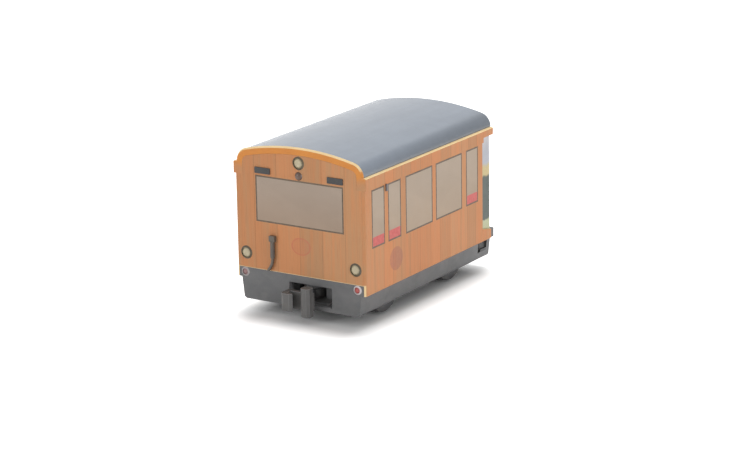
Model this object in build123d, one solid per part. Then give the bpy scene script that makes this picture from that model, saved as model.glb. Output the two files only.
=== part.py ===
"""Short toy brake van on two flanged wheelsets.

Millimetres. X runs across the van, Y along it with the cab front towards -Y, and Z up from the floor
that the wheel flanges stand on. Right is +X, on the right of a viewer who faces the cab front.
"""

from build123d import *
import math
import os

# Wheelsets
FLANGE_RADIUS = 5.4
FLANGE_HEIGHT = 0.4
FLANGE_THICK = 0.7
WHEEL_WIDTH = 2.6
TREAD_FALL = 0.1         # coning of the tread
RIM_WIDTH = 0.9
DISH = 0.5               # depth of the wheel's dished face
HUB_RADIUS = 1.8
HUB_PROUD = 0.9          # hub behind the flange, towards the bearing
AXLE_RADIUS = 1.0
AXLE_SHORT = 0.2         # axle end inside the wheel's outer face
FRONT_AXLE_INSET = 10.2  # front axle inside the face of the front end panel
REAR_WHEEL_GAP = 1.4     # rear wheels to the inner face of the shell's rear wall
AXLE_PLAY = 0.2          # hub to bearing, each side
AXLE_HEADROOM = 0.6      # floor over the axle
BEARING_THICK = 1.2
BEARING_LIP = 0.9        # bearing wall left round the axle
BEARING_TAPER = 0.8      # how much wider the bearing wall is at the floor, each way
RUNNING_CLEARANCE = 0.05
WHEEL_CLEARANCE = 0.6    # floor cut-out round each wheel
WHEEL_SIDE_GAP = 0.25    # wheel face to skirt

# Moulded body shell
BODY_WIDTH = 27.8        # over the side walls
BODY_LENGTH = 44.85      # cab front to the rear ends of the eaves
SHELL_OVER_AXLE = 0.8    # lower edge of the side walls over the axles
SIDE_HEIGHT = 21.7       # that edge to the eaves
PANEL_RISE = 1.93        # cab front's lower edge over the side walls' lower edge
WALL = 1.3               # side and rear walls
FRONT_WALL = 0.9         # cab front
CORNER_ROUND = 0.45      # rounding of the two upright front corners
EAVE_PROUD = 0.3         # how far the eave band stands out of the side wall
EAVE_BAND = 2.3          # height of the eave band
EAVE_BEVEL = 0.15        # bevel on its upper edge
OVERHANG_BAND = 1.35     # height of the band along the rear overhang
HOOD_INSET = 0.25        # hood inside the side walls, at the eaves
CROWN_RISE = 3.95        # arch of the hood, eave to crown
ARCH_CORNER = 2.65       # small radius where the arch turns down to the eave
HOOD_LIP = 0.35          # arched lip of the cab front, ahead of the roof
HOOD_RIM = 1.3           # width of the bare band under the lip
HOOD_BEVEL = 0.3         # bevel on the lip's upper edge
REAR_RECESS = 3.55       # rear wall, set in under the rear overhang
LEDGE_RISE = 2.42        # rear ledge over the shell's lower edge, at the rear wall
LEDGE_FALL = 0.65        # how far its top slopes down to its end
LEDGE_SHORT = 0.32       # its end, short of the ends of the eaves

# Roof panel
ROOF_INSET = 0.1         # roof inside the hood, all round
ROOF_TAIL = 0.25         # roof past the rear ends of the eave bands
ROOF_THICK = 1.2
RIB_DEPTH = 1.4          # the roof's locating ribs, down inside the walls
RIB_THICK = 1.0

# Rear end block, under the rear overhang
REAR_BLOCK_DEPTH = 3.2
REAR_BLOCK_INSET = 0.35  # inside the side walls

# Printed films
FILM = 0.15
FILM_GAP = 0.02          # film to the edge of its pocket
FILM_MARGIN = 0.1        # bare moulding left round each film
FRAME_LINE = 0.3         # dark line round each window
END_WINDOW_DROP = 2.09   # heads of the front and rear windows under the eaves
END_WINDOW_TALL = 8.66
FRONT_WINDOW_SIDE = 4.45 # front window to the body's side
SIDE_WINDOW_DROP = 0.3   # heads of the side windows under the eave bands
SIDE_WINDOW_TALL = 10.77
RED_PANEL_TALL = 1.7
# Side windows: start and end as shares of the side wall's length, red panel at the bottom
SIDE_WINDOWS = [
    (0.056, 0.160, True),
    (0.188, 0.293, True),
    (0.333, 0.559, False),
    (0.588, 0.816, False),
    (0.853, 0.959, True),
]
# Rear windows: centre and width as shares of the body's width
REAR_WINDOWS = [
    (-0.27, 0.20),
    (0.0, 0.18),
    (0.27, 0.20),
]

# Chassis
REAR_PANEL_PAST = 0.95   # rear end panel's face past the rear overhang
SKIRT_INSET = 0.95       # top of the skirt, in from the side wall
SKIRT_LEAN = 0.45        # how far the skirt leans in on its way down
SKIRT_DROP = 4.05
SKIRT_THICK = 0.8
SKIRT_CORNER = 0.7       # rounding of the end panels' lower corners
FLOOR_THICK = 1.2
SHELF_THICK = 1.0        # lower floor under the rear ledge
PANEL_THICK = 0.9        # front end panel
EAR_MARGIN = 0.45        # side wall left beside the front end panel's upper corners
REAR_EAR_MARGIN = 0.2    # rear end panel's upper corners, in from the side wall
TAB_WIDTH = 2.1          # clip tongue in each skirt, along the van
TAB_DROP = 2.0
CLIP_SLOT_GAP = 0.9      # open part of the clip slot, ahead of the tongue
CLIP_SLOT_DEEP = 2.0     # open part, in from the back of the skirt
CLIP_SLOT_DROP = 0.5     # open part, below the tongue

# Couplers
PIVOT_INSET = 4.6        # coupler pivot behind the end panel's face
COUPLER_DROP = 2.1       # middle of the shank under the shell's lower edge
COUPLER_SWING = 12.0     # degrees to each side
SHANK_THICK = 1.6
SHANK_WIDTH = 2.4
COUPLER_RING = 2.0
POST_RADIUS = 1.0
BOSS_RADIUS = 1.7
SLOT_CLEARANCE = 0.35
SLOT_SPARE = 4.1         # slot's extra width on the side of the guard
SLOT_TALL = 3.75
HEAD_GAP = 1.15          # back of the head, ahead of the end panel
HEAD_DEPTH = 3.0
HEAD_BACK = 0.9
HEAD_THICK = 3.3
HEAD_ROUND = 0.45
FINGER_LEFT = 1.9
FINGER_THICK = 1.0
FINGER_REACH = 0.55      # tip of the finger past the middle of the coupler
KNUCKLE_ROUND = 0.9      # outer turn of the finger
GUARD_RIGHT = 3.6
GUARD_WIDTH = 1.9
GUARD_DEPTH = 2.0
GUARD_THICK = 5.4
KEEPER_THICK = 0.6
KEEPER_HALF = 4.6
KEEPER_AHEAD = 3.2       # keeper plate ahead of the pivot
KEEPER_BEHIND = 2.7
KEEPER_POST = 1.4
KEEPER_POST_OUT = 3.6
POCKET_WALL = 0.8        # wall behind the keeper, from bearing to bearing

# Fittings on the cab front, the sides and the front end panel
HEADLAMP_RADIUS = 1.25
HEADLAMP_RIM = 0.3
HEADLAMP_PROUD = 0.25
TOP_LAMP_GAP = 0.27      # top lamp to the hood's rim
LOW_LAMP_SIDE = 0.85     # lower lamp to the body's side
LOW_LAMP_RISE = 1.55     # lower lamp over the cab front's lower edge
LENS_PROUD = 0.18
LENS_BEVEL = 0.3
HORN_RADIUS = 0.78
HORN_GAP = 0.35          # horn under the top lamp
HORN_PROUD = 0.5
PLATE_WIDTH = 3.3        # dark plates over the corners of the front window
PLATE_TALL = 1.15
PLATE_GAP = 0.37         # plate over the window
PLATE_PROUD = 0.2
TAIL_LAMP_RADIUS = 0.85
TAIL_LAMP_RIM = 0.27
TAIL_LAMP_PROUD = 0.2
TAIL_LAMP_SIDE = 0.45    # tail lamp to the end panel's side
TAIL_LAMP_TOP = 0.05     # tail lamp to the end panel's top
CABLE_OUT = 5.78         # jumper cable, left of the middle
SOCKET_WIDTH = 1.2
SOCKET_TALL = 1.05
SOCKET_DROP = 2.25       # socket under the front window
SOCKET_PROUD = 0.7
SLEEVE_RADIUS = 0.42
SLEEVE_LENGTH = 3.1
CABLE_RADIUS = 0.28
CABLE_SIDES = 10         # flats round the sleeve and the cable
CABLE_SWEEP = 1.0        # sideways run of the hanging end
CABLE_DROP = 2.4
MARKER_SHARE = 0.174     # side marker along the side wall, on the first window post
MARKER_DROP = 0.85       # its middle under the eave band
MARKER_WIDTH = 0.55
MARKER_TALL = 1.3
MARKER_PROUD = 0.3
SEAT_GAP = 0.05          # between pieces that are fitted together

# Places worked out from the sizes above
AXLE_HEIGHT = FLANGE_RADIUS
SHELL_BOTTOM = AXLE_HEIGHT + SHELL_OVER_AXLE
FRONT_BOTTOM = SHELL_BOTTOM + PANEL_RISE
EAVE = SHELL_BOTTOM + SIDE_HEIGHT
BAND_BOTTOM = EAVE - EAVE_BAND
OVERHANG_BOTTOM = EAVE - OVERHANG_BAND
END_WINDOW_HEAD = EAVE - END_WINDOW_DROP
END_WINDOW_SILL = END_WINDOW_HEAD - END_WINDOW_TALL
BODY_HALF = BODY_WIDTH / 2
INNER_HALF = BODY_HALF - WALL
EAVE_HALF = BODY_HALF + EAVE_PROUD
HOOD_HALF = BODY_HALF - HOOD_INSET
CHASSIS_LENGTH = BODY_LENGTH + REAR_PANEL_PAST
FRONT_Y = -CHASSIS_LENGTH / 2
PANEL_REAR_Y = CHASSIS_LENGTH / 2
REAR_Y = FRONT_Y + BODY_LENGTH
REAR_WALL_Y = REAR_Y - REAR_RECESS
SIDE_LENGTH = REAR_WALL_Y - FRONT_Y
INSIDE_Y = FRONT_Y + FRONT_WALL
ROOF_FRONT_Y = FRONT_Y + HOOD_LIP
ROOF_REAR_Y = REAR_Y + ROOF_TAIL
LEDGE_TOP = SHELL_BOTTOM + LEDGE_RISE
LEDGE_Y = REAR_Y - LEDGE_SHORT
REAR_BLOCK_Y = REAR_WALL_Y + REAR_BLOCK_DEPTH
EAR_HALF = BODY_HALF - EAR_MARGIN
REAR_EAR_HALF = BODY_HALF - REAR_EAR_MARGIN
PANEL_BACK_Y = FRONT_Y + PANEL_THICK
SHELF_REAR_Y = LEDGE_Y + SEAT_GAP
DECK_REAR_Y = REAR_WALL_Y - WALL - SEAT_GAP
SKIRT_BOTTOM = SHELL_BOTTOM - SKIRT_DROP
SKIRT_TOP_HALF = BODY_HALF - SKIRT_INSET
SKIRT_BOTTOM_HALF = SKIRT_TOP_HALF - SKIRT_LEAN
FLOOR_UNDERSIDE = AXLE_HEIGHT + AXLE_RADIUS + AXLE_HEADROOM
FLOOR_TOP = FLOOR_UNDERSIDE + FLOOR_THICK
FRONT_AXLE_Y = FRONT_Y + FRONT_AXLE_INSET
REAR_AXLE_Y = REAR_WALL_Y - WALL - REAR_WHEEL_GAP - FLANGE_RADIUS
TREAD_RADIUS = FLANGE_RADIUS - FLANGE_HEIGHT
WHEEL_FACE_X = SKIRT_BOTTOM_HALF - SKIRT_THICK - WHEEL_SIDE_GAP
WHEEL_BACK_X = WHEEL_FACE_X - WHEEL_WIDTH
HUB_BACK_X = WHEEL_BACK_X - HUB_PROUD
BEARING_FACE_X = HUB_BACK_X - AXLE_PLAY
BEARING_RADIUS = AXLE_RADIUS + RUNNING_CLEARANCE
PIVOT_Y = FRONT_Y + PIVOT_INSET
COUPLER_HEIGHT = SHELL_BOTTOM - COUPLER_DROP
SHANK_BOTTOM = COUPLER_HEIGHT - SHANK_THICK / 2
SHANK_TOP = COUPLER_HEIGHT + SHANK_THICK / 2
KEEPER_TOP = SHANK_BOTTOM - 2 * SEAT_GAP
TAB_REAR_Y = SHELF_REAR_Y - SEAT_GAP
TOP_LAMP_HEIGHT = EAVE + CROWN_RISE - HOOD_RIM - TOP_LAMP_GAP - HEADLAMP_RADIUS
LOW_LAMP_OUT = BODY_HALF - LOW_LAMP_SIDE - HEADLAMP_RADIUS
LOW_LAMP_HEIGHT = FRONT_BOTTOM + LOW_LAMP_RISE + HEADLAMP_RADIUS
# Headlamps: across the van, height
HEADLAMPS = [
    (0, TOP_LAMP_HEIGHT),
    (-LOW_LAMP_OUT, LOW_LAMP_HEIGHT),
    (LOW_LAMP_OUT, LOW_LAMP_HEIGHT),
]
SIDES = (-1, 1)


# Helpers

def block(x0, x1, y0, y1, z0, z1):
    """Box between two corners."""
    centre = Pos((x0 + x1) / 2, (y0 + y1) / 2, (z0 + z1) / 2)
    return centre * Box(x1 - x0, y1 - y0, z1 - z0)


def oblong(u0, u1, v0, v1):
    """Rectangle between two corners, in a sketch plane."""
    return Pos((u0 + u1) / 2, (v0 + v1) / 2) * Rectangle(u1 - u0, v1 - v0)


def polygon(*points):
    return make_face(Polyline(*points, close=True))


def along_x(sketch, x0, x1):
    """Extrudes a sketch of y and height from x0 to x1."""
    return extrude(Plane.YZ.offset(x0) * sketch, amount=x1 - x0)


def along_y(sketch, y0, y1):
    """Extrudes a sketch of x and height from y0 to y1."""
    return extrude(Plane.XZ.offset(-y1) * sketch, amount=y1 - y0)


def along_z(sketch, z0, z1):
    """Extrudes a sketch of x and y from z0 to z1."""
    return extrude(Plane.XY.offset(z0) * sketch, amount=z1 - z0)


def both_sides(shape):
    """The shape fused with its mirror image on the other side of the van."""
    return shape + mirror(shape, Plane.YZ)


def separate(shapes):
    """Separate solids kept together in one piece."""
    return Compound(children=list(shapes))


def arch(half, base, eave, rise, corner):
    """Three-centre arch: straight sides from base to eave, a small corner arc and a wide crown arc."""
    corner_x = half - corner
    crown = (corner_x**2 + rise**2 - corner**2) / (2 * (rise - corner))
    lean = math.atan2(corner_x, crown - rise)
    joint = (crown * math.sin(lean), eave + rise - crown + crown * math.cos(lean))
    turn = (lean + math.pi / 2) / 2
    middle = (corner_x + corner * math.sin(turn), eave + corner * math.cos(turn))
    right = ThreePointArc((half, eave), middle, joint)
    top = ThreePointArc(joint, (0, eave + rise), (-joint[0], joint[1]))
    foot = Polyline((-half, eave), (-half, base), (half, base), (half, eave))
    return make_face([right, top, mirror(right, Plane.YZ), foot])


def hood_arch(inset, base):
    """The hood's outline, drawn in by inset."""
    return arch(HOOD_HALF - inset, base, EAVE, CROWN_RISE - inset, ARCH_CORNER - inset)


def turned(profile):
    """Revolves a profile of radius and height over a seat at Y = 0; it stands out towards -Y."""
    return revolve(mirror(profile, Plane.XZ), Axis.Y)


# Body shell

def front_film_outline(grow=0):
    margin = FILM_MARGIN - grow
    half = BODY_HALF - CORNER_ROUND - margin
    lower = oblong(-half, half, FRONT_BOTTOM + margin, BAND_BOTTOM)
    return lower + hood_arch(HOOD_RIM + margin, BAND_BOTTOM)


def side_film_outline(grow=0):
    margin = FILM_MARGIN - grow
    start, end = FRONT_Y + CORNER_ROUND + margin, REAR_WALL_Y - margin
    return oblong(start, end, SHELL_BOTTOM + margin, BAND_BOTTOM - margin)


def shell_plan():
    """Outline of the body seen from above, with its rounded front corners."""
    plan = oblong(-BODY_HALF, BODY_HALF, FRONT_Y, REAR_WALL_Y)
    return fillet(plan.vertices().group_by(Axis.Y)[0], CORNER_ROUND)


def hood():
    """Arched top of the cab front: a bevelled lip ahead of the roof, and the wall under the roof."""
    lip = along_y(hood_arch(0, BAND_BOTTOM), FRONT_Y, ROOF_FRONT_Y)
    lip = chamfer(lip.faces().sort_by(Axis.Y)[0].edges().filter_by(GeomType.CIRCLE), HOOD_BEVEL)
    lip &= along_z(shell_plan(), BAND_BOTTOM, EAVE + CROWN_RISE)
    return lip + along_y(roof_arch(ROOF_THICK + SEAT_GAP, BAND_BOTTOM), ROOF_FRONT_Y, INSIDE_Y)


def eave_band(low, start, end):
    """Right-hand eave band with its lower edge at low."""
    band = polygon(
        (INNER_HALF, low),
        (EAVE_HALF, low),
        (EAVE_HALF, EAVE - EAVE_BEVEL),
        (EAVE_HALF - EAVE_BEVEL, EAVE),
        (INNER_HALF, EAVE),
    )
    return along_y(band, start, end)


def rear_ledge():
    inside = REAR_WALL_Y - WALL
    side = polygon(
        (inside, SHELL_BOTTOM),
        (LEDGE_Y, SHELL_BOTTOM),
        (LEDGE_Y, LEDGE_TOP - LEDGE_FALL),
        (REAR_WALL_Y, LEDGE_TOP),
        (inside, LEDGE_TOP),
    )
    return along_x(side, -BODY_HALF, BODY_HALF)


def body_shell():
    plan = shell_plan() - oblong(-INNER_HALF, INNER_HALF, INSIDE_Y, REAR_WALL_Y - WALL)
    bands = eave_band(BAND_BOTTOM, FRONT_Y, REAR_WALL_Y)
    bands += eave_band(OVERHANG_BOTTOM, REAR_WALL_Y, REAR_Y)
    gable = along_y(roof_arch(ROOF_THICK + SEAT_GAP, BAND_BOTTOM), REAR_WALL_Y - WALL, REAR_WALL_Y)
    shell = along_z(plan, SHELL_BOTTOM, EAVE) + hood() + both_sides(bands) + gable + rear_ledge()
    # Room for the front end panel and the floor behind it
    panel_half, panel_back = EAR_HALF + SEAT_GAP, PANEL_BACK_Y + SEAT_GAP
    shell -= block(-panel_half, panel_half, FRONT_Y, panel_back, SHELL_BOTTOM, FRONT_BOTTOM)
    # Pockets for the printed films
    shell -= along_y(front_film_outline(FILM_GAP), FRONT_Y, FRONT_Y + FILM)
    shell -= both_sides(along_x(side_film_outline(FILM_GAP), BODY_HALF - FILM, BODY_HALF))
    return shell


# Roof panel

def roof_arch(inset, base):
    """The roof's outline, drawn in by inset."""
    return hood_arch(ROOF_INSET + inset, base)


def roof():
    inner = roof_arch(ROOF_THICK, EAVE - ROOF_THICK)
    panel = along_y(roof_arch(0, EAVE - ROOF_THICK) - inner, ROOF_FRONT_Y, ROOF_REAR_Y)
    panel -= block(-BODY_HALF, BODY_HALF, ROOF_FRONT_Y, ROOF_REAR_Y, EAVE - ROOF_THICK, EAVE)
    rib_out = INNER_HALF - SEAT_GAP
    rib_front, rib_rear = INSIDE_Y + RIB_THICK, REAR_WALL_Y - WALL - RIB_THICK
    rib = block(rib_out - RIB_THICK, rib_out, rib_front, rib_rear, EAVE - RIB_DEPTH, EAVE + ROOF_THICK)
    return panel + both_sides(rib)


# Printed films

def side_window(start, end, inset):
    """Opening in the right-hand film, drawn in by inset."""
    head = BAND_BOTTOM - SIDE_WINDOW_DROP
    front, rear = FRONT_Y + start * SIDE_LENGTH, FRONT_Y + end * SIDE_LENGTH
    return oblong(front + inset, rear - inset, head - SIDE_WINDOW_TALL + inset, head - inset)


def end_window(centre, half, inset):
    """Opening in the front or rear film, drawn in by inset."""
    reach = half - inset
    return oblong(centre - reach, centre + reach, END_WINDOW_SILL + inset, END_WINDOW_HEAD - inset)


def front_film_pieces():
    """Film, window line and pane of the cab front."""
    half = BODY_HALF - FRONT_WINDOW_SIDE
    opening, pane = end_window(0, half, 0), end_window(0, half, FRAME_LINE)
    sketches = (front_film_outline() - opening, opening - pane, pane)
    return [along_y(sketch, FRONT_Y, FRONT_Y + FILM) for sketch in sketches]


def side_film_pieces():
    """Film, window lines, panes and red panels of the right-hand side."""
    film = side_film_outline()
    lines, panes, reds = [], [], []
    red_top = BAND_BOTTOM - SIDE_WINDOW_DROP - SIDE_WINDOW_TALL + FRAME_LINE + RED_PANEL_TALL
    for start, end, red in SIDE_WINDOWS:
        opening, pane = side_window(start, end, 0), side_window(start, end, FRAME_LINE)
        film -= opening
        lines.append(opening - pane)
        if red:
            foot = pane & oblong(FRONT_Y, REAR_Y, SHELL_BOTTOM, red_top)
            reds.append(foot)
            pane -= foot
        panes.append(pane)

    def skin(sketch):
        return along_x(sketch, BODY_HALF - FILM, BODY_HALF)

    return skin(film), [skin(s) for s in lines], [skin(s) for s in panes], [skin(s) for s in reds]


# Rear end block

def rear_block_outline(inset, low):
    """Block between the ledge and the roof, stepped in between the eave bands, drawn in by inset."""
    half = BODY_HALF - REAR_BLOCK_INSET - inset
    wide = oblong(-half, half, low, OVERHANG_BOTTOM - SEAT_GAP)
    return wide + roof_arch(ROOF_THICK + SEAT_GAP + inset, low)


def rear_pieces():
    """Block, film, window lines and panes of the rear end."""
    skin_y, skin_low = REAR_BLOCK_Y - FILM, LEDGE_TOP + FILM_MARGIN
    body = along_y(rear_block_outline(0, LEDGE_TOP - LEDGE_FALL), REAR_WALL_Y, REAR_BLOCK_Y)
    body -= Pos(0, 0, SEAT_GAP) * rear_ledge()
    body -= along_y(rear_block_outline(FILM_MARGIN - FILM_GAP, skin_low - FILM_GAP), skin_y, REAR_BLOCK_Y)
    film = rear_block_outline(FILM_MARGIN, skin_low)
    lines, panes = [], []
    for centre, width in REAR_WINDOWS:
        place = (centre * BODY_WIDTH, width * BODY_WIDTH / 2)
        opening, pane = end_window(*place, 0), end_window(*place, FRAME_LINE)
        film -= opening
        lines.append(opening - pane)
        panes.append(pane)

    def skin(sketch):
        return along_y(sketch, skin_y, REAR_BLOCK_Y)

    return body, skin(film), [skin(s) for s in lines], [skin(s) for s in panes]


# Chassis

def skirt_section(inset, drop):
    """Cross-section of the space between the skirts, drawn in by inset and lowered by drop."""
    top, bottom, low = SKIRT_TOP_HALF - inset, SKIRT_BOTTOM_HALF - inset, SKIRT_BOTTOM - drop
    return polygon((-top, SHELL_BOTTOM), (top, SHELL_BOTTOM), (bottom, low), (-bottom, low))


def bearing(y):
    """Right-hand bearing wall under the floor, without its bore."""
    foot = BEARING_RADIUS + BEARING_LIP
    root = foot + BEARING_TAPER
    low = AXLE_HEIGHT - foot
    side = polygon((y - root, FLOOR_UNDERSIDE), (y - foot, low), (y + foot, low), (y + root, FLOOR_UNDERSIDE))
    return along_x(side, BEARING_FACE_X - BEARING_THICK, BEARING_FACE_X)


def coupler_mount():
    """Pivot post, its boss, the two keeper posts and the pocket's back wall, for the front coupler."""
    shoulder = SHANK_TOP + 2 * SEAT_GAP
    mount = along_z(Pos(0, PIVOT_Y) * Circle(BOSS_RADIUS), shoulder, FLOOR_UNDERSIDE)
    mount += along_z(Pos(0, PIVOT_Y) * Circle(POST_RADIUS), KEEPER_TOP, shoulder)
    post = Pos(KEEPER_POST_OUT, PIVOT_Y) * Rectangle(KEEPER_POST, KEEPER_POST)
    mount += both_sides(along_z(post, KEEPER_TOP, FLOOR_UNDERSIDE))
    wall_y = PIVOT_Y + KEEPER_BEHIND + SEAT_GAP
    low = KEEPER_TOP - KEEPER_THICK
    return mount + block(-BEARING_FACE_X, BEARING_FACE_X, wall_y, wall_y + POCKET_WALL, low, FLOOR_UNDERSIDE)


def coupler_slot():
    """Opening in the front end panel, wide enough for the whole swing and wider beside the guard."""
    swing = math.radians(COUPLER_SWING)
    half = SHANK_WIDTH / 2 / math.cos(swing) + PIVOT_INSET * math.tan(swing) + SLOT_CLEARANCE
    back, low = FRONT_Y + PANEL_REAR_Y - SHELF_REAR_Y, SHANK_BOTTOM - SLOT_CLEARANCE
    return block(-half, half + SLOT_SPARE, FRONT_Y, back, low, low + SLOT_TALL)


def chassis():
    section = skirt_section(0, 0)
    section = fillet(section.vertices().group_by(Axis.Y)[0], SKIRT_CORNER)
    tub = along_y(section, FRONT_Y, PANEL_REAR_Y)
    tub -= along_y(skirt_section(SKIRT_THICK, SKIRT_THICK), PANEL_BACK_Y, SHELF_REAR_Y)
    # Floor, on a low wall that the shell slides over
    deck_half = INNER_HALF - 2 * SEAT_GAP
    well_half = SKIRT_TOP_HALF - SKIRT_THICK
    well_rear = DECK_REAR_Y - SKIRT_THICK
    tub += block(-deck_half, deck_half, PANEL_BACK_Y, DECK_REAR_Y, SHELL_BOTTOM, FLOOR_TOP)
    tub -= block(-well_half, well_half, PANEL_BACK_Y, well_rear, SHELL_BOTTOM, FLOOR_UNDERSIDE)
    # Lower floor under the rear wall and the ledge
    shelf_bottom = SHELL_BOTTOM - SHELF_THICK
    tub += block(-well_half, well_half, well_rear, SHELF_REAR_Y, shelf_bottom, SHELL_BOTTOM)
    # Upper parts of the end panels
    tub += block(-EAR_HALF, EAR_HALF, FRONT_Y, PANEL_BACK_Y, SHELL_BOTTOM, FRONT_BOTTOM)
    rear_top = LEDGE_TOP - LEDGE_FALL
    tub += block(-REAR_EAR_HALF, REAR_EAR_HALF, SHELF_REAR_Y, PANEL_REAR_Y, SHELL_BOTTOM, rear_top)
    # Couplers; the rear mount stops under the shell's rear wall
    turn = Rot(0, 0, 180)
    rear_mount = turn * coupler_mount()
    rear_mount -= block(-BODY_HALF, BODY_HALF, DECK_REAR_Y, REAR_Y, SHELL_BOTTOM, FLOOR_TOP)
    tub += coupler_mount() + rear_mount
    tub -= coupler_slot() + turn * coupler_slot()
    # Wheel cut-outs and bearings
    reach = FLANGE_RADIUS + WHEEL_CLEARANCE
    for y in (FRONT_AXLE_Y, REAR_AXLE_Y):
        tub -= both_sides(block(BEARING_FACE_X, well_half, y - reach, y + reach, shelf_bottom, FLOOR_TOP))
        tub += both_sides(bearing(y))
        tub -= along_x(Pos(y, AXLE_HEIGHT) * Circle(BEARING_RADIUS), -BEARING_FACE_X, BEARING_FACE_X)
    # Clip slots in the skirts, each with a tongue that hangs from the lower floor
    tongue_front = TAB_REAR_Y - TAB_WIDTH
    tongue_out = SKIRT_BOTTOM_HALF - SEAT_GAP
    slot_in = SKIRT_BOTTOM_HALF - SKIRT_THICK
    slot_front, slot_low = tongue_front - CLIP_SLOT_GAP, SHELL_BOTTOM - TAB_DROP
    slot = block(slot_in, SKIRT_TOP_HALF, slot_front, SHELF_REAR_Y, slot_low - SEAT_GAP, SHELL_BOTTOM)
    slot -= block(slot_in, tongue_out, tongue_front, TAB_REAR_Y, slot_low, SHELL_BOTTOM)
    gap_in, gap_low = slot_in - CLIP_SLOT_DEEP, slot_low - CLIP_SLOT_DROP
    gap = block(gap_in, SKIRT_TOP_HALF, slot_front, tongue_front, gap_low, SHELL_BOTTOM)
    return tub - both_sides(slot + gap)


# Wheelsets

def axle(y):
    half = WHEEL_FACE_X - AXLE_SHORT
    return along_x(Pos(y, AXLE_HEIGHT) * Circle(AXLE_RADIUS), -half, half)


def wheel():
    """Right-hand wheel about the X axis: hub, flange, coned tread, rim and a dished face."""
    face, back = WHEEL_FACE_X, WHEEL_BACK_X
    profile = polygon(
        (HUB_BACK_X, AXLE_RADIUS),
        (HUB_BACK_X, HUB_RADIUS),
        (back, HUB_RADIUS),
        (back, FLANGE_RADIUS),
        (back + FLANGE_THICK, TREAD_RADIUS),
        (face, TREAD_RADIUS - TREAD_FALL),
        (face, TREAD_RADIUS - TREAD_FALL - RIM_WIDTH),
        (face - DISH, AXLE_RADIUS),
    )
    return revolve(profile, Axis.X)


def wheels(y):
    right = Pos(0, y, AXLE_HEIGHT) * wheel()
    return separate([right, mirror(right, Plane.YZ)])


# Couplers

def coupler():
    """Front knuckle coupler: ring round the pivot post, shank, hooked finger and guard."""
    back = -PIVOT_INSET - HEAD_GAP
    tip = back - HEAD_DEPTH
    arm = oblong(-FINGER_LEFT, -FINGER_LEFT + FINGER_THICK, tip, back)
    hook = oblong(-FINGER_LEFT, FINGER_REACH, tip, tip + FINGER_THICK)
    base = oblong(-FINGER_LEFT, GUARD_RIGHT, back - HEAD_BACK, back)
    knuckle = arm + hook + base
    outer_turn = knuckle.vertices().group_by(Axis.Y)[0].sort_by(Axis.X)[0]
    knuckle = fillet(outer_turn, KNUCKLE_ROUND)
    hook_tip = knuckle.vertices().sort_by_distance((FINGER_REACH, tip + FINGER_THICK / 2))[:2]
    knuckle = chamfer(hook_tip, HEAD_ROUND)
    guard = oblong(GUARD_RIGHT - GUARD_WIDTH, GUARD_RIGHT, back - GUARD_DEPTH, back)
    guard = chamfer(guard.vertices(), HEAD_ROUND)
    shank = oblong(-SHANK_WIDTH / 2, SHANK_WIDTH / 2, back - HEAD_BACK / 2, 0) + Circle(COUPLER_RING)
    shank -= Circle(POST_RADIUS + RUNNING_CLEARANCE)

    def layer(sketch, thick):
        return along_z(sketch, COUPLER_HEIGHT - thick / 2, COUPLER_HEIGHT + thick / 2)

    head = layer(knuckle, HEAD_THICK) + layer(guard, GUARD_THICK)
    return Pos(0, PIVOT_Y, 0) * (layer(shank, SHANK_THICK) + head)


def keeper():
    """Plate under the front coupler, on the ends of the pivot post and the keeper posts."""
    front, rear = PIVOT_Y - KEEPER_AHEAD, PIVOT_Y + KEEPER_BEHIND
    return block(-KEEPER_HALF, KEEPER_HALF, front, rear, KEEPER_TOP - KEEPER_THICK, KEEPER_TOP)


# Fittings

def lamp_rim(radius, rim, proud):
    """Round bezel that tapers to its lip."""
    return turned(polygon((radius - rim, 0), (radius, 0), (radius - rim, proud)))


def lens(radius):
    return turned(polygon((0, 0), (radius, 0), (radius - LENS_BEVEL, LENS_PROUD), (0, LENS_PROUD)))


def headlamps(piece):
    """One piece of each headlamp, on the cab front."""
    return separate(Pos(x, FRONT_Y, z) * piece for x, z in HEADLAMPS)


def tail_lamps(piece):
    """One piece of each tail lamp, on the front end panel."""
    out = EAR_HALF - TAIL_LAMP_SIDE - TAIL_LAMP_RADIUS
    height = FRONT_BOTTOM - TAIL_LAMP_TOP - TAIL_LAMP_RADIUS
    return separate(Pos(side * out, FRONT_Y, height) * piece for side in SIDES)


def horn():
    """Round cap under the top lamp."""
    ball = (HORN_RADIUS**2 + HORN_PROUD**2) / (2 * HORN_PROUD)
    lean = math.asin(HORN_RADIUS / ball) / 2
    middle = (ball * math.sin(lean), HORN_PROUD - ball + ball * math.cos(lean))
    seat = Polyline((0, HORN_PROUD), (0, 0), (HORN_RADIUS, 0))
    cap = turned(make_face([seat, ThreePointArc((HORN_RADIUS, 0), middle, (0, HORN_PROUD))]))
    return Pos(0, FRONT_Y, TOP_LAMP_HEIGHT - HEADLAMP_RADIUS - HORN_GAP - HORN_RADIUS) * cap


def front_plates():
    outer = BODY_HALF - FRONT_WINDOW_SIDE
    low = END_WINDOW_HEAD + PLATE_GAP
    plate = block(outer - PLATE_WIDTH, outer, FRONT_Y - PLATE_PROUD, FRONT_Y, low, low + PLATE_TALL)
    return separate([plate, mirror(plate, Plane.YZ)])


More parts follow.
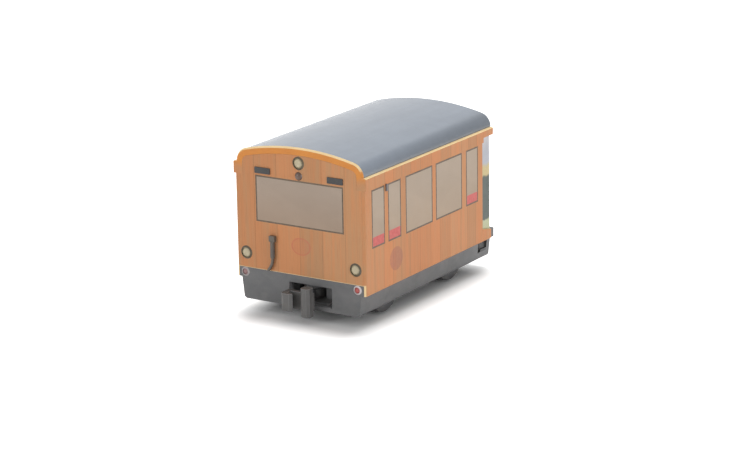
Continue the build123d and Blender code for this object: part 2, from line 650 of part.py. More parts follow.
def jumper_cable():
    """Socket, sleeve and hanging cable on the cab front."""
    half, top = SOCKET_WIDTH / 2, END_WINDOW_SILL - SOCKET_DROP
    sleeve_top = top - SOCKET_TALL
    sleeve_low = sleeve_top - SLEEVE_LENGTH
    x, y = -CABLE_OUT, FRONT_Y - SLEEVE_RADIUS
    socket = block(x - half, x + half, FRONT_Y - SOCKET_PROUD, FRONT_Y, sleeve_top, top)
    sleeve = along_z(Pos(x, y) * RegularPolygon(SLEEVE_RADIUS, CABLE_SIDES), sleeve_low, sleeve_top)
    bend = (CABLE_SWEEP**2 + CABLE_DROP**2) / (2 * CABLE_SWEEP)
    turn = math.asin(CABLE_DROP / bend) / 2
    middle = (x - bend + bend * math.cos(turn), y, sleeve_low - bend * math.sin(turn))
    path = ThreePointArc((x, y, sleeve_low), middle, (x - CABLE_SWEEP, y, sleeve_low - CABLE_DROP))
    cable = sweep(Pos(x, y, sleeve_low) * RegularPolygon(CABLE_RADIUS, CABLE_SIDES), path)
    return socket + sleeve + cable


def side_markers():
    y, z = FRONT_Y + MARKER_SHARE * SIDE_LENGTH, BAND_BOTTOM - MARKER_DROP
    face = Pos(y, z) * Rectangle(MARKER_WIDTH, MARKER_TALL)
    marker = along_x(face, BODY_HALF, BODY_HALF + MARKER_PROUD)
    return separate([marker, mirror(marker, Plane.YZ)])


# Assembly

def pieces():
    turn = Rot(0, 0, 180)
    front_film, front_line, front_pane = front_film_pieces()
    side_film, side_lines, side_panes, side_reds = side_film_pieces()
    rear_block, rear_film, rear_lines, rear_panes = rear_pieces()

    def left(solids):
        return separate(mirror(solid, Plane.YZ) for solid in solids)

    return {
        "body_shell": body_shell(),
        "roof": roof(),
        "chassis": chassis(),
        "front_axle": axle(FRONT_AXLE_Y),
        "front_wheels": wheels(FRONT_AXLE_Y),
        "rear_axle": axle(REAR_AXLE_Y),
        "rear_wheels": wheels(REAR_AXLE_Y),
        "front_coupler": coupler(),
        "rear_coupler": turn * coupler(),
        "front_coupler_keeper": keeper(),
        "rear_coupler_keeper": turn * keeper(),
        "front_film": front_film,
        "front_window_line": front_line,
        "front_window_pane": front_pane,
        "right_film": side_film,
        "right_window_lines": separate(side_lines),
        "right_window_panes": separate(side_panes),
        "right_red_panels": separate(side_reds),
        "left_film": left([side_film]),
        "left_window_lines": left(side_lines),
        "left_window_panes": left(side_panes),
        "left_red_panels": left(side_reds),
        "rear_block": rear_block,
        "rear_film": rear_film,
        "rear_window_lines": separate(rear_lines),
        "rear_window_panes": separate(rear_panes),
        "headlamp_rims": headlamps(lamp_rim(HEADLAMP_RADIUS, HEADLAMP_RIM, HEADLAMP_PROUD)),
        "headlamp_lenses": headlamps(lens(HEADLAMP_RADIUS - HEADLAMP_RIM)),
        "horn": horn(),
        "front_plates": front_plates(),
        "jumper_cable": jumper_cable(),
        "tail_lamp_rims": tail_lamps(lamp_rim(TAIL_LAMP_RADIUS, TAIL_LAMP_RIM, TAIL_LAMP_PROUD)),
        "tail_lamp_lenses": tail_lamps(lens(TAIL_LAMP_RADIUS - TAIL_LAMP_RIM)),
        "side_markers": side_markers(),
    }


def main():
    os.makedirs("parts", exist_ok=True)
    for name, shape in pieces().items():
        export_step(shape, f"parts/{name}.step")


main()
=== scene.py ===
"""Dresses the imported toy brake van: finishes, eased edges, floor, light and camera."""
import math

import bpy
from mathutils import Matrix, Vector

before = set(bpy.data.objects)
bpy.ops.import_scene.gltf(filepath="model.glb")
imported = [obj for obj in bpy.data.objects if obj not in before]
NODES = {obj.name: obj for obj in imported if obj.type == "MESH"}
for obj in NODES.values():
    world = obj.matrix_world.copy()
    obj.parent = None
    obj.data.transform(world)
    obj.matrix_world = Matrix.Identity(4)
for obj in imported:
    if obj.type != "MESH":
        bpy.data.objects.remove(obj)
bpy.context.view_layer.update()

MM = 0.001

# Places on the van in millimetres. A pair is where a change of tone starts and where it ends.
FRONT_BOARD_PITCH = 4.87
FRONT_BOARD_START = -FRONT_BOARD_PITCH / 2
SIDE_BOARD_PITCH = 3.3
SIDE_BOARD_START = 0.4
BOARD_LINE = 0.16
FAINT_LINE = 0.1
BOARD_GROOVE = 0.2
HOOD_FADE = (26.4, 28.4)
# Below this height the shell's end faces carry a painted highlight
LEDGE_HIGHLIGHT_FADE = (8.1, 8.4)
# Painted shade on the roof darkens it over this span towards the eaves
EAVE_SHADE = (10.8, 14.2)
# Painted shade on the clip tongues, within these spans
CLIP_FRONT = (18.3, 18.5)
CLIP_BACK = (21.7, 21.9)
CLIP_BOTTOM = (3.6, 3.7)
CLIP_TOP = (6.2, 6.3)
# Painted light in the coupler pockets, within these spans
POCKET_INNER = (13.8, 14.2)
POCKET_OUTER = (22.5, 22.8)
POCKET_SIDE = (8.0, 8.2)
FRONT_PANE_RISE = (17, 26)
SIDE_PANE_RISE = (12, 25.5)
SHEEN = (2.6, 4.4)
SHEEN_PITCH = 7.0
# Painted highlight along the front edge of the rear block
REAR_HIGHLIGHT_FADE = (18.9, 19.1)
LAMP_SIDES = (-1.0, 1.0)

# Plain marks in millimetres: centre and radii, each along the wall and up
FRONT_MARK = ((0.2, 13.6), (2.1, 1.65))
SIDE_MARK = ((-12.57, 10.82), (2.2, 2.2))

# The same marks in radii: edge of the filled middle, middle of the line, half width of the line
MARK_EDGE = (0.94, 1.0)
MARK_LINE = 0.92
MARK_LINE_HALF = (0.03, 0.12)

# Shares: how uneven the side boards and the faint lines are, how far the painted shade at the eaves
# leans to the rear for each millimetre, and how far the sheen on the panes leans over
SIDE_UNEVEN = 0.6
FAINT_UNEVEN = 0.7
EAVE_SHADE_LEAN = 0.05
SHEEN_LEAN = 0.45

# Levels by which a colour is made darker or lighter
# Painted shade on the roof towards the eaves
EAVE_SHADE_LEVEL = 0.6
# Painted shade on the clip tongues
CLIP_SHADE_LEVEL = 0.42
# Painted light in the coupler pockets
POCKET_LIGHT_LEVEL = 1.7
LEFT_RIM_LEVEL = 0.62

# Noise: features a millimetre, the same on all axes, or across, along and up
MOULD_FLOW = (0.16, 0.1, 0.2)
MOULD_CLOUD = 0.3
SPECKLE = 7
DUST = (0.5, 0.5, 0.9)
GLOSS = 0.8
TOOTH = 11
STREAKS = (1.1, 1.1, 0.07)
GRAIN = (6.0, 6.0, 0.25)
SCREEN = 14
SHELL_FLOW = (0.4, 0.4, 0.3)
GRIME = (0.5, 0.06, 0.5)
WEAR = 2.2
PANE_CLOUD = (0.25, 0.25, 0.4)
PANE_GLOSS = 0.7
INK = 1.6
INK_SCREEN = 15
INK_TOOTH = 13
TURNING = (18, 0.3, 0.3)
BAND_WAVER = (0.9, 0.9, 0.2)
LENS_CLOUD = 1.8
LENS_SPECKLE = 9

# Waves of the lens flutes, in radians a millimetre
LENS_FLUTES = 26.0

# Stretches of noise over which a tone changes
SOFT = (0.3, 0.7)
WIDE = (0.2, 0.8)


# Colour and node helpers

def srgb(red, green, blue):
    """Linear colour of an 8-bit screen colour."""
    def linear(level):
        level /= 255
        return level / 12.92 if level <= 0.04045 else ((level + 0.055) / 1.055) ** 2.4
    return (linear(red), linear(green), linear(blue), 1.0)


class Finish:
    """A material built up node by node, in coordinates of the part in millimetres."""

    def __init__(self, name, roughness=0.45, specular=0.5, metallic=0.0):
        self.material = bpy.data.materials.new(name)
        self.material.use_nodes = True
        self.tree = self.material.node_tree
        self.shader = self.tree.nodes["Principled BSDF"]
        self.set("Roughness", roughness)
        self.set("Specular IOR Level", specular)
        self.set("Metallic", metallic)
        place = self.add("ShaderNodeTexCoord").outputs["Object"]
        self.mm = self.vector("SCALE", place, Scale=1 / MM)
        axes = self.add("ShaderNodeSeparateXYZ", Vector=self.mm)
        self.x, self.y, self.z = axes.outputs

    def add(self, kind, settings=None, **inputs):
        node = self.tree.nodes.new(kind)
        for key, value in (settings or {}).items():
            setattr(node, key, value)
        for key, value in inputs.items():
            self.feed(node.inputs[key], value)
        return node

    def feed(self, socket, value):
        if isinstance(value, bpy.types.NodeSocket):
            self.tree.links.new(value, socket)
        else:
            socket.default_value = value

    def set(self, socket, value):
        self.feed(self.shader.inputs[socket], value)

    def vector(self, operation, *values, **named):
        node = self.add("ShaderNodeVectorMath", {"operation": operation}, **named)
        for socket, value in zip(node.inputs, values):
            self.feed(socket, value)
        return node.outputs[0]

    def math(self, operation, *values):
        node = self.add("ShaderNodeMath", {"operation": operation})
        for socket, value in zip(node.inputs, values):
            self.feed(socket, value)
        return node.outputs[0]

    def away(self, value, middle=0.0):
        """Distance of the value from a middle."""
        return self.math("ABSOLUTE", self.math("SUBTRACT", value, middle))

    def length(self, u, v):
        squares = self.math("ADD", self.math("POWER", u, 2.0), self.math("POWER", v, 2.0))
        return self.math("SQRT", squares)

    def ease(self, value, low, high, start=0.0, end=1.0):
        """Smooth step from start to end as the value goes from low to high."""
        node = self.add("ShaderNodeMapRange", {"interpolation_type": "SMOOTHSTEP"})
        levels = {"Value": value, "From Min": low, "From Max": high, "To Min": start, "To Max": end}
        for key, level in levels.items():
            self.feed(node.inputs[key], level)
        return node.outputs["Result"]

    def between(self, value, first, last):
        """1 from the first change to the last one, and 0 outside them."""
        return self.math("MULTIPLY", self.ease(value, *first), self.ease(value, *last, 1.0, 0.0))

    def noise(self, scale, detail=2.0, roughness=0.5):
        """Noise from 0 to 1 with so many features a millimetre, on all axes or along each."""
        scales = scale if isinstance(scale, tuple) else (scale, scale, scale)
        place = self.vector("MULTIPLY", self.mm, scales)
        node = self.add("ShaderNodeTexNoise", Vector=place, Scale=1.0, Detail=detail, Roughness=roughness)
        return node.outputs["Fac"]

    def mix(self, share, first, second):
        node = self.add("ShaderNodeMix", {"data_type": "RGBA"})
        for index, value in ((0, share), (6, first), (7, second)):
            self.feed(node.inputs[index], value)
        return node.outputs[2]

    def tint(self, colour, level):
        """The colour made lighter or darker by a level round 1."""
        return self.vector("SCALE", colour, Scale=level)

    def bump(self, height, strength, distance):
        node = self.add("ShaderNodeBump", Height=height, Strength=strength, Distance=distance * MM)
        self.set("Normal", node.outputs["Normal"])


# Colours: pairs and threes are tones that run into each other
WOOD = (srgb(204, 140, 95), srgb(192, 144, 104), srgb(170, 120, 87))
SIDE_WOOD = (srgb(215, 145, 98), srgb(205, 148, 105), srgb(187, 128, 90))
ORANGE = (srgb(222, 146, 72), srgb(216, 140, 72))
# Cream is a painted highlight, on the orange shell's eased edges, low end faces and faces that look up
CREAM_HIGHLIGHT = (srgb(248, 219, 168), srgb(242, 210, 156))
ROOF_GREY = (srgb(130, 140, 153), srgb(127, 137, 150))
BLACK = (srgb(104, 104, 105), srgb(97, 98, 99))
# A painted highlight on the eased edges of the black mouldings
BLACK_EDGE_HIGHLIGHT = (srgb(126, 127, 129), srgb(118, 119, 122))
BLACK_DUST = srgb(116, 115, 114)
COUPLER_BLACK = (srgb(98, 97, 96), srgb(91, 90, 89))
COUPLER_DUST = srgb(110, 108, 106)
KEEPER_GREY = (srgb(128, 127, 126), srgb(120, 119, 118))
WHEEL_BLACK = (srgb(66, 66, 68), srgb(58, 58, 60))
WHEEL_DUST = srgb(92, 88, 84)
STEEL = (srgb(150, 152, 156), srgb(186, 187, 190))
SLATE = (srgb(72, 72, 72), srgb(66, 66, 66))
MARKER_SLATE = (srgb(122, 114, 114), srgb(110, 106, 108))
HORN_BROWN = (srgb(112, 86, 72), srgb(96, 76, 66))
CABLE_BROWN = (srgb(98, 90, 80), srgb(88, 82, 76))
LINE_INK = (srgb(108, 92, 72), srgb(92, 80, 64))
RED_INK = (srgb(214, 102, 96), srgb(204, 94, 90))
FRONT_MARK_INK = srgb(196, 104, 88)
SIDE_MARK_INK = srgb(168, 108, 98)
FRONT_GLASS = (srgb(166, 145, 127), srgb(171, 154, 139))
SIDE_GLASS = (srgb(180, 158, 135), srgb(183, 165, 146))
LAMP_RIM = (srgb(98, 88, 66), srgb(86, 78, 62))
LAMP_LENS = (srgb(200, 187, 154), srgb(182, 169, 139))
TAIL_RIM = (srgb(214, 204, 204), srgb(204, 192, 192))
TAIL_LENSES = (srgb(150, 112, 112), srgb(174, 80, 75))
# A painted highlight along the front edge of the rear block
REAR_EDGE_HIGHLIGHT = srgb(232, 212, 178)
REAR_LOWEST = srgb(196, 200, 164)

# Bands above the lowest one on the rear block: height of the join in millimetres, colour
REAR_BANDS = [
    ((9.9, 10.3), srgb(84, 94, 88)),
    ((18.4, 19.0), srgb(214, 196, 144)),
    ((20.3, 21.3), srgb(190, 192, 200)),
    ((23.0, 26.0), srgb(206, 204, 208)),
]


# Finishes

def moulding(name, tones, roughness, mottle=0.08, grain=0.05, specular=0.5, dust=None, tooth=0.25):
    """Moulded plastic: cloudy flow tones, fine speckle, uneven gloss and a faint tooled texture."""
    f = Finish(name, roughness, specular)
    flow = f.ease(f.noise(MOULD_FLOW, 3), 0.25, 0.75, 1 - mottle, 1 + mottle)
    speckle = f.ease(f.noise(SPECKLE, 2), *WIDE, -grain, grain)
    cloud = f.ease(f.noise(MOULD_CLOUD, 4), 0.35, 0.65)
    f.colour = f.tint(f.mix(cloud, *tones), f.math("ADD", flow, speckle))
    if dust:
        settled = f.ease(f.noise(DUST, 5), 0.45, 0.75, 0.0, 0.35)
        f.colour = f.mix(settled, f.colour, dust)
    f.set("Base Color", f.colour)
    f.set("Roughness", f.ease(f.noise(GLOSS, 4), *SOFT, roughness - 0.03, roughness + 0.03))
    f.bump(f.noise(TOOTH, 3), tooth, 0.02)
    return f


def board_cells(f, run, pitch, start, uneven):
    """Random shades of each board, and distances to its lines and to the faint ones, in pitches."""
    place = f.math("DIVIDE", f.math("SUBTRACT", run, start), pitch)
    halves = f.math("MULTIPLY", place, 2.0)
    cell = {"voronoi_dimensions": "1D", "feature": "F1"}
    edge = {"voronoi_dimensions": "1D", "feature": "DISTANCE_TO_EDGE"}
    board = f.add("ShaderNodeTexVoronoi", cell, W=place, Scale=1.0, Randomness=uneven)
    line = f.add("ShaderNodeTexVoronoi", edge, W=place, Scale=1.0, Randomness=uneven)
    faint = f.add("ShaderNodeTexVoronoi", edge, W=halves, Scale=1.0, Randomness=FAINT_UNEVEN)
    shade = f.add("ShaderNodeSeparateColor", Color=board.outputs["Color"])
    return shade.outputs, line.outputs["Distance"], faint.outputs["Distance"]


def boards(f, run, pitch, start, uneven, tones):
    """Printed upright boards: board lines, board tones, streaky grain and print speckle."""
    shade, line, faint = board_cells(f, run, pitch, start, uneven)
    warm, tan, dark = tones
    fine = f.noise(GRAIN, 3, 0.6)
    lean = f.math("ADD", f.noise(STREAKS, 4, 0.6), f.ease(shade[1], 0.0, 1.0, -0.2, 0.2))
    colour = f.mix(f.ease(lean, *SOFT), warm, tan)
    colour = f.mix(f.ease(fine, 0.5, 0.85, 0.0, 0.5), colour, dark)
    level = f.ease(shade[0], 0.0, 1.0, 0.95, 1.05)
    level = f.math("SUBTRACT", level, f.ease(line, 0.0, BOARD_LINE / pitch, 0.17, 0.0))
    level = f.math("SUBTRACT", level, f.ease(faint, 0.0, 2 * FAINT_LINE / pitch, 0.07, 0.0))
    level = f.math("ADD", level, f.ease(f.noise(SCREEN, 1), *WIDE, -0.02, 0.02))
    f.colour = f.tint(colour, level)
    f.set("Base Color", f.colour)
    f.set("Roughness", f.ease(fine, 0.3, 0.8, 0.42, 0.56))
    f.bump(f.math("ADD", fine, f.ease(line, 0.0, BOARD_GROOVE / pitch, -0.6, 0.0)), 0.2, 0.03)


def front_boards(name):
    f = Finish(name, 0.45, 0.2)
    boards(f, f.x, FRONT_BOARD_PITCH, FRONT_BOARD_START, 0.0, WOOD)
    return f


def side_boards(name):
    f = Finish(name, 0.45, 0.2)
    boards(f, f.y, SIDE_BOARD_PITCH, SIDE_BOARD_START, SIDE_UNEVEN, SIDE_WOOD)
    return f


def mark(f, run, place, ink, fill, line):
    """A plain worn oval on a print: a filled middle inside a line."""
    centre, radii = place
    u = f.math("DIVIDE", f.math("SUBTRACT", run, centre[0]), radii[0])
    v = f.math("DIVIDE", f.math("SUBTRACT", f.z, centre[1]), radii[1])
    out = f.length(u, v)
    worn = f.ease(f.noise(WEAR, 3), *SOFT, 0.7, 1.0)
    inside = f.ease(out, *MARK_EDGE, fill, 0.0)
    ring = f.ease(f.away(out, MARK_LINE), *MARK_LINE_HALF, line, 0.0)
    share = f.math("MULTIPLY", f.math("MAXIMUM", inside, ring), worn)
    f.set("Base Color", f.mix(share, f.colour, ink))


def front_print(name):
    f = front_boards(name)
    mark(f, f.x, FRONT_MARK, FRONT_MARK_INK, 0.2, 0.6)
    return f


def side_print(name):
    f = side_boards(name)
    mark(f, f.y, SIDE_MARK, SIDE_MARK_INK, 0.55, 0.5)
    return f


def shell(name):
    """Orange shell: boards printed on its sides, wood tone on its ends, plain hood, and a painted cream
    highlight on the low end faces and on all faces that look up."""
    f = side_boards(name)
    normal = f.add("ShaderNodeNewGeometry").outputs["True Normal"]
    facing = f.add("ShaderNodeSeparateXYZ", Vector=normal).outputs
    side = f.ease(f.away(facing[0]), 0.75, 0.95)
    flow = f.ease(f.noise(SHELL_FLOW, 4), *SOFT)
    # Cream here is a painted highlight, low on the end faces and on every face that looks up
    cream = f.mix(flow, *CREAM_HIGHLIGHT)
    end = f.mix(f.ease(f.z, *HOOD_FADE), f.mix(flow, *WOOD[:2]), f.mix(flow, *ORANGE))
    end = f.mix(f.ease(f.z, *LEDGE_HIGHLIGHT_FADE), cream, end)
    level = f.ease(f.noise(SPECKLE, 2), *WIDE, 0.975, 1.025)
    colour = f.mix(side, f.tint(end, level), f.colour)
    # Painted highlight on every face that looks up
    upward_highlight = f.ease(facing[2], 0.25, 0.45)
    f.set("Base Color", f.mix(upward_highlight, colour, f.tint(cream, level)))
    return f


def roof(name):
    """Smooth grey roof: painted shade makes it darker towards the eaves, more so at the rear."""
    f = moulding(name, ROOF_GREY, 0.22, mottle=0.012, grain=0.012, specular=0.7, tooth=0.03)
    out = f.math("ADD", f.away(f.x), f.math("MULTIPLY", f.y, EAVE_SHADE_LEAN))
    # Painted shade: darker towards the eaves, leaning further in at the rear
    eaves = f.tint(f.colour, f.ease(out, *EAVE_SHADE, 1.0, EAVE_SHADE_LEVEL))
    grime = f.ease(f.noise(GRIME, 3), *WIDE, 0.96, 1.04)
    f.set("Base Color", f.tint(eaves, grime))
    return f


def chassis(name):
    """Black plastic, with painted shade on the clip tongues and painted light in the coupler pockets."""
    f = moulding(name, BLACK, 0.45, specular=0.4, dust=BLACK_DUST)
    beside = f.ease(f.away(f.x), *POCKET_SIDE)
    tongue = f.math("MULTIPLY", f.between(f.y, CLIP_FRONT, CLIP_BACK), f.between(f.z, CLIP_BOTTOM, CLIP_TOP))
    clip = f.math("MULTIPLY", tongue, beside)
    within = f.ease(f.away(f.x), *POCKET_SIDE, 1.0, 0.0)
    pocket = f.math("MULTIPLY", f.between(f.away(f.y), POCKET_INNER, POCKET_OUTER), within)
    # Painted shade on the clip tongues
    dark = f.ease(clip, 0.0, 1.0, 1.0, CLIP_SHADE_LEVEL)
    # Painted light in the coupler pockets
    pale = f.ease(pocket, 0.0, 1.0, 1.0, POCKET_LIGHT_LEVEL)
    f.set("Base Color", f.tint(f.colour, f.math("MULTIPLY", dark, pale)))
    return f


def pane(name, rise, tones):
    """Printed glass: a soft upright fade, a slanting sheen and a fine print screen."""
    f = Finish(name, 0.35, 0.25)
    slant = f.math("ADD", f.z, f.math("MULTIPLY", f.math("ADD", f.x, f.y), SHEEN_LEAN))
    sheen = f.ease(f.math("PINGPONG", slant, SHEEN_PITCH), *SHEEN)
    cloud = f.ease(f.noise(PANE_CLOUD, 3), 0.25, 0.75, -0.02, 0.02)
    screen = f.ease(f.noise(SCREEN, 1), *WIDE, -0.01, 0.01)
    level = f.math("ADD", f.ease(sheen, 0.0, 1.0, 0.98, 1.02), f.math("ADD", cloud, screen))
    f.set("Base Color", f.tint(f.mix(f.ease(f.z, *rise), *tones), level))
    f.set("Roughness", f.ease(f.noise(PANE_GLOSS, 3), *SOFT, 0.3, 0.42))
    return f


def printed(name, tones, roughness=0.45):
    """Flat print: an uneven ink layer with a fine screen."""
    f = Finish(name, roughness, 0.45)
    ink = f.ease(f.noise(INK, 4), *SOFT)
    level = f.ease(f.noise(INK_SCREEN, 1), *WIDE, 0.94, 1.06)
    f.set("Base Color", f.tint(f.mix(ink, *tones), level))
    f.set("Roughness", f.ease(ink, 0.0, 1.0, roughness - 0.05, roughness + 0.07))
    f.bump(f.noise(INK_TOOTH, 2), 0.12, 0.01)
    return f


def steel(name):
    """Turned axle steel with rings round the axle."""
    f = Finish(name, 0.3, 0.5, 1.0)
    rings = f.noise(TURNING, 3)
    f.set("Base Color", f.mix(f.ease(rings, *SOFT), *STEEL))
    f.set("Roughness", f.ease(rings, *SOFT, 0.24, 0.4))
    f.bump(rings, 0.3, 0.02)
    return f


def rear_bands(name):
    """Rear block: plain painted bands one above the other, with soft worn joins and a painted highlight
    along its front edge.
    """
    f = Finish(name, 0.45, 0.45)
    waver = f.math("ADD", f.z, f.ease(f.noise(BAND_WAVER, 3), *WIDE, -0.25, 0.25))
    colour = REAR_LOWEST
    for join, tone in REAR_BANDS:
        colour = f.mix(f.ease(waver, *join), colour, tone)
    # Painted highlight along the front edge
    colour = f.mix(f.ease(f.y, *REAR_HIGHLIGHT_FADE), REAR_EDGE_HIGHLIGHT, colour)
    level = f.ease(f.noise(SPECKLE, 2), *WIDE, 0.93, 1.07)
    f.set("Base Color", f.tint(colour, level))
    f.set("Roughness", f.ease(f.noise(GLOSS, 4), *SOFT, 0.4, 0.52))
    f.bump(f.noise(TOOTH, 3), 0.25, 0.02)
    return f


def fluted(name):
    """Lamp lens before its colour: fine moulded flutes and a cloudy gloss."""
    f = Finish(name, 0.22, 0.5)
    f.cloud = f.noise(LENS_CLOUD, 3)
    f.set("Roughness", f.ease(f.ease(f.cloud, *SOFT), 0.0, 1.0, 0.16, 0.3))
    f.bump(f.math("SINE", f.math("MULTIPLY", f.x, LENS_FLUTES)), 0.2, 0.03)
    return f


def lamp_glass(name):
    """Headlamp lenses: a cloudy cream body."""
    f = fluted(name)
    body = f.mix(f.ease(f.cloud, *SOFT), *LAMP_LENS)
    speckle = f.ease(f.noise(LENS_SPECKLE, 2), *WIDE, 0.95, 1.05)
    f.set("Base Color", f.tint(body, speckle))
    return f


def tail_glass(name):
    """Tail lamp lenses: the left one faded, the right one red."""
    f = fluted(name)
    body = f.mix(f.ease(f.x, *LAMP_SIDES), *TAIL_LENSES)
    f.set("Base Color", f.tint(body, f.ease(f.cloud, *SOFT, 0.9, 1.1)))
    return f


def tail_rim(name):
    """Tail lamp rims: the left one duller."""
    f = moulding(name, TAIL_RIM, 0.4, mottle=0.03, grain=0.03)
    f.set("Base Color", f.tint(f.colour, f.ease(f.x, *LAMP_SIDES, LEFT_RIM_LEVEL, 1.0)))
    return f


SIDE_PRINT = side_print("side_boards")
COUPLER = moulding("coupler_black", COUPLER_BLACK, 0.42, specular=0.35, dust=COUPLER_DUST)
KEEPER = moulding("keeper_grey", KEEPER_GREY, 0.45, specular=0.3)

# Finish of a node by its name, or else by the name of its slot
BY_NAME = {
    "front_film": front_print("front_boards"),
    "rear_film": front_boards("rear_boards"),
    "right_film": SIDE_PRINT,
    "left_film": SIDE_PRINT,
    "front_window_pane": pane("front_glass_print", FRONT_PANE_RISE, FRONT_GLASS),
    "horn": moulding("horn_brown", HORN_BROWN, 0.2, grain=0.04),
    "jumper_cable": moulding("cable_brown", CABLE_BROWN, 0.42),
    "chassis": chassis("chassis_black"),
    "front_coupler": COUPLER,
    "rear_coupler": COUPLER,
    "front_coupler_keeper": KEEPER,
    "rear_coupler_keeper": KEEPER,
    "side_markers": moulding("marker_slate", MARKER_SLATE, 0.42, mottle=0.06),
}
BY_SLOT = {
    "orange_moulding": shell("orange_shell"),
    "grey_moulding": roof("roof_grey"),
    "axle_steel": steel("axle_steel_turned"),
    "wheel_moulding": moulding("wheel_black", WHEEL_BLACK, 0.42, specular=0.4, dust=WHEEL_DUST),
    "line_print": printed("window_line_ink", LINE_INK),
    "pane_print": pane("side_glass_print", SIDE_PANE_RISE, SIDE_GLASS),
    "red_print": printed("red_ink", RED_INK),
    "rear_block_moulding": rear_bands("rear_block_bands"),
    "lamp_rim": moulding("lamp_rim_olive", LAMP_RIM, 0.4),
    "lamp_lens": lamp_glass("lamp_lens_cream"),
    "dark_fitting": moulding("dark_fitting_slate", SLATE, 0.42, specular=0.3),
    "tail_rim": tail_rim("tail_rim_white"),
    "tail_lens": tail_glass("tail_lens_red"),
}

# Second finish, on the eased edges alone, by the name of the slot: a painted highlight, lighter than the
# moulding
EDGES = {
    "orange_moulding": moulding("cream_edge_highlight", CREAM_HIGHLIGHT, 0.3, mottle=0.04, grain=0.03),
    "black_moulding": moulding("black_edge_highlight", BLACK_EDGE_HIGHLIGHT, 0.4, specular=0.4),
}

# Eased edges on the moulded pieces: width in millimetres by node
EASED = {
    "body_shell": 0.07,
    "roof": 0.07,
    "chassis": 0.12,
    "front_coupler": 0.12,
    "rear_coupler": 0.12,
    "front_coupler_keeper": 0.12,
    "rear_coupler_keeper": 0.12,
    "front_wheels": 0.08,
    "rear_wheels": 0.08,
    "front_axle": 0.12,
    "rear_axle": 0.12,
    "rear_block": 0.08,
    "front_plates": 0.06,
    "side_markers": 0.08,
    "jumper_cable": 0.06,
}
WELD_GAP = 0.001
EASED_STEPS = 2
EASED_ANGLE = 35


def finish_nodes():
    for name, node in NODES.items():
        slot = node.data.materials[0].name
        finish = BY_NAME[name] if name in BY_NAME else BY_SLOT[slot]
        node.data.materials[0] = finish.material
        if slot in EDGES:
            node.data.materials.append(EDGES[slot].material)


def ease_edges():
    for name, width in EASED.items():
        node = NODES[name]
        weld = node.modifiers.new("weld", "WELD")
        weld.merge_threshold = WELD_GAP * MM
        bevel = node.modifiers.new("eased_edges", "BEVEL")
        bevel.width = width * MM
        bevel.segments = EASED_STEPS
        bevel.limit_method = "ANGLE"
        bevel.angle_limit = math.radians(EASED_ANGLE)
        # The eased edges take the painted highlight finish
        bevel.material = len(node.data.materials) - 1
        normals = node.modifiers.new("normals", "WEIGHTED_NORMAL")
        normals.keep_sharp = True


# Floor: half its width in metres, its grey, and how strongly it glows away from the van
FLOOR_HALF = 3.0
FLOOR_GREY = 0.9
FLOOR_GLOW = 0.8

# Stretch of floor under the van that keeps its shadow, in millimetres: middle, half size, fade
SHADOW_MIDDLE = (2.0, -4.0)
SHADOW_HALF = (9.0, 20.0)
SHADOW_FADE = 10.0

# Lamps: name, place and size in metres, power in watts; they point at one spot inside the van
LAMPS = [
    ("top", (-0.06, 0.28, 0.78), 0.5, 3.4),
    ("key", (-0.35, -0.65, 0.3), 0.4, 1.35),
    ("fill", (0.75, -0.2, 0.2), 0.4, 1.35),
]
LAMP_AIM = (0, 0, 0.015)

# Strength of the white surroundings, as seen and as light on the pieces
SKY_SEEN = 1.0
SKY_LIGHT = 0.45

# Camera: angles in degrees, place and lens in millimetres, nearest point drawn in metres
CAMERA_AZIMUTH = 32.577
CAMERA_ELEVATION = 15.569
CAMERA_ROLL = -0.894
CAMERA_PLACE = (257.637, -401.028, 144.856)
CAMERA_LENS = 127.126
CAMERA_SENSOR = 36
CAMERA_NEAR = 0.01


def seen_directly(f):
    """1 on rays from the camera and on mirrored or transmitted ones, else 0."""
    path = f.add("ShaderNodeLightPath").outputs
    mirrored = f.math("MAXIMUM", path["Is Glossy Ray"], path["Is Transmission Ray"])
    return f.math("MAXIMUM", path["Is Camera Ray"], mirrored)


def floor_finish():
    """Pale grey under the van, glowing white a short way off it."""
    f = Finish("pale_floor", 1.0, 0.0)
    f.set("Base Color", (FLOOR_GREY, FLOOR_GREY, FLOOR_GREY, 1))
    beside, beyond = (
        f.math("MAXIMUM", f.math("SUBTRACT", f.away(run, middle), half), 0.0)
        for run, middle, half in zip((f.x, f.y), SHADOW_MIDDLE, SHADOW_HALF)
    )
    glow = f.ease(f.length(beside, beyond), 0.0, SHADOW_FADE, 0.0, FLOOR_GLOW)
    f.set("Emission Color", (1, 1, 1, 1))
    f.set("Emission Strength", f.math("MULTIPLY", seen_directly(f), glow))
    return f


def floor():
    size = FLOOR_HALF
    corners = [(-size, -size, 0), (size, -size, 0), (size, size, 0), (-size, size, 0)]
    mesh = bpy.data.meshes.new("floor")
    mesh.from_pydata(corners, [], [(0, 1, 2, 3)])
    mesh.materials.append(floor_finish().material)
    ground = bpy.data.objects.new("floor", mesh)
    bpy.context.scene.collection.objects.link(ground)


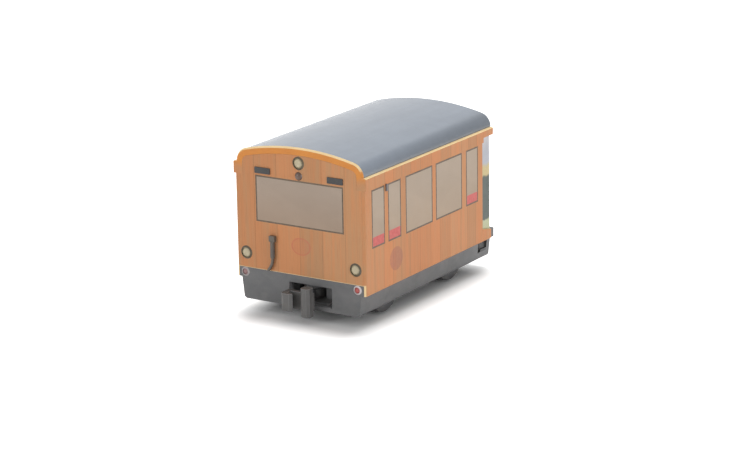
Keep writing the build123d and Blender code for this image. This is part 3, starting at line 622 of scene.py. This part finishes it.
def lamp(name, place, size, power):
    data = bpy.data.lights.new(name, "AREA")
    data.shape = "DISK"
    data.size = size
    data.energy = power
    light = bpy.data.objects.new(name, data)
    light.location = place
    light.rotation_euler = (Vector(LAMP_AIM) - Vector(place)).to_track_quat("-Z", "Y").to_euler()
    bpy.context.scene.collection.objects.link(light)


def light_studio():
    world = bpy.data.worlds.new("studio")
    bpy.context.scene.world = world
    world.use_nodes = True
    tree = world.node_tree
    sky = tree.nodes["Background"]
    sky.inputs["Color"].default_value = (1, 1, 1, 1)
    path = tree.nodes.new("ShaderNodeLightPath")
    strength = tree.nodes.new("ShaderNodeMapRange")
    tree.links.new(path.outputs["Is Diffuse Ray"], strength.inputs["Value"])
    strength.inputs["To Min"].default_value = SKY_SEEN
    strength.inputs["To Max"].default_value = SKY_LIGHT
    tree.links.new(strength.outputs["Result"], sky.inputs["Strength"])
    for entry in LAMPS:
        lamp(*entry)


def camera_turn():
    """Rotation of the camera, from its azimuth, elevation and roll."""
    azimuth = math.radians(CAMERA_AZIMUTH)
    elevation = math.radians(CAMERA_ELEVATION)
    roll = math.radians(CAMERA_ROLL)
    level = math.cos(elevation)
    back = Vector((math.sin(azimuth) * level, -math.cos(azimuth) * level, math.sin(elevation)))
    right = Vector((math.cos(azimuth), math.sin(azimuth), 0))
    up = back.cross(right)
    across = right * math.cos(roll) + up * math.sin(roll)
    upright = up * math.cos(roll) - right * math.sin(roll)
    return Matrix((across, upright, back)).transposed().to_4x4()


def photo_camera():
    """Camera at the photograph's place, angle and framing."""
    data = bpy.data.cameras.new("photo_camera")
    data.sensor_width = CAMERA_SENSOR
    data.lens = CAMERA_LENS
    data.clip_start = CAMERA_NEAR
    camera = bpy.data.objects.new("photo_camera", data)
    camera.matrix_world = Matrix.Translation(Vector(CAMERA_PLACE) * MM) @ camera_turn()
    bpy.context.scene.collection.objects.link(camera)
    bpy.context.scene.camera = camera


photo_camera()
finish_nodes()
ease_edges()
floor()
light_studio()
bpy.context.scene.view_settings.view_transform = "Standard"
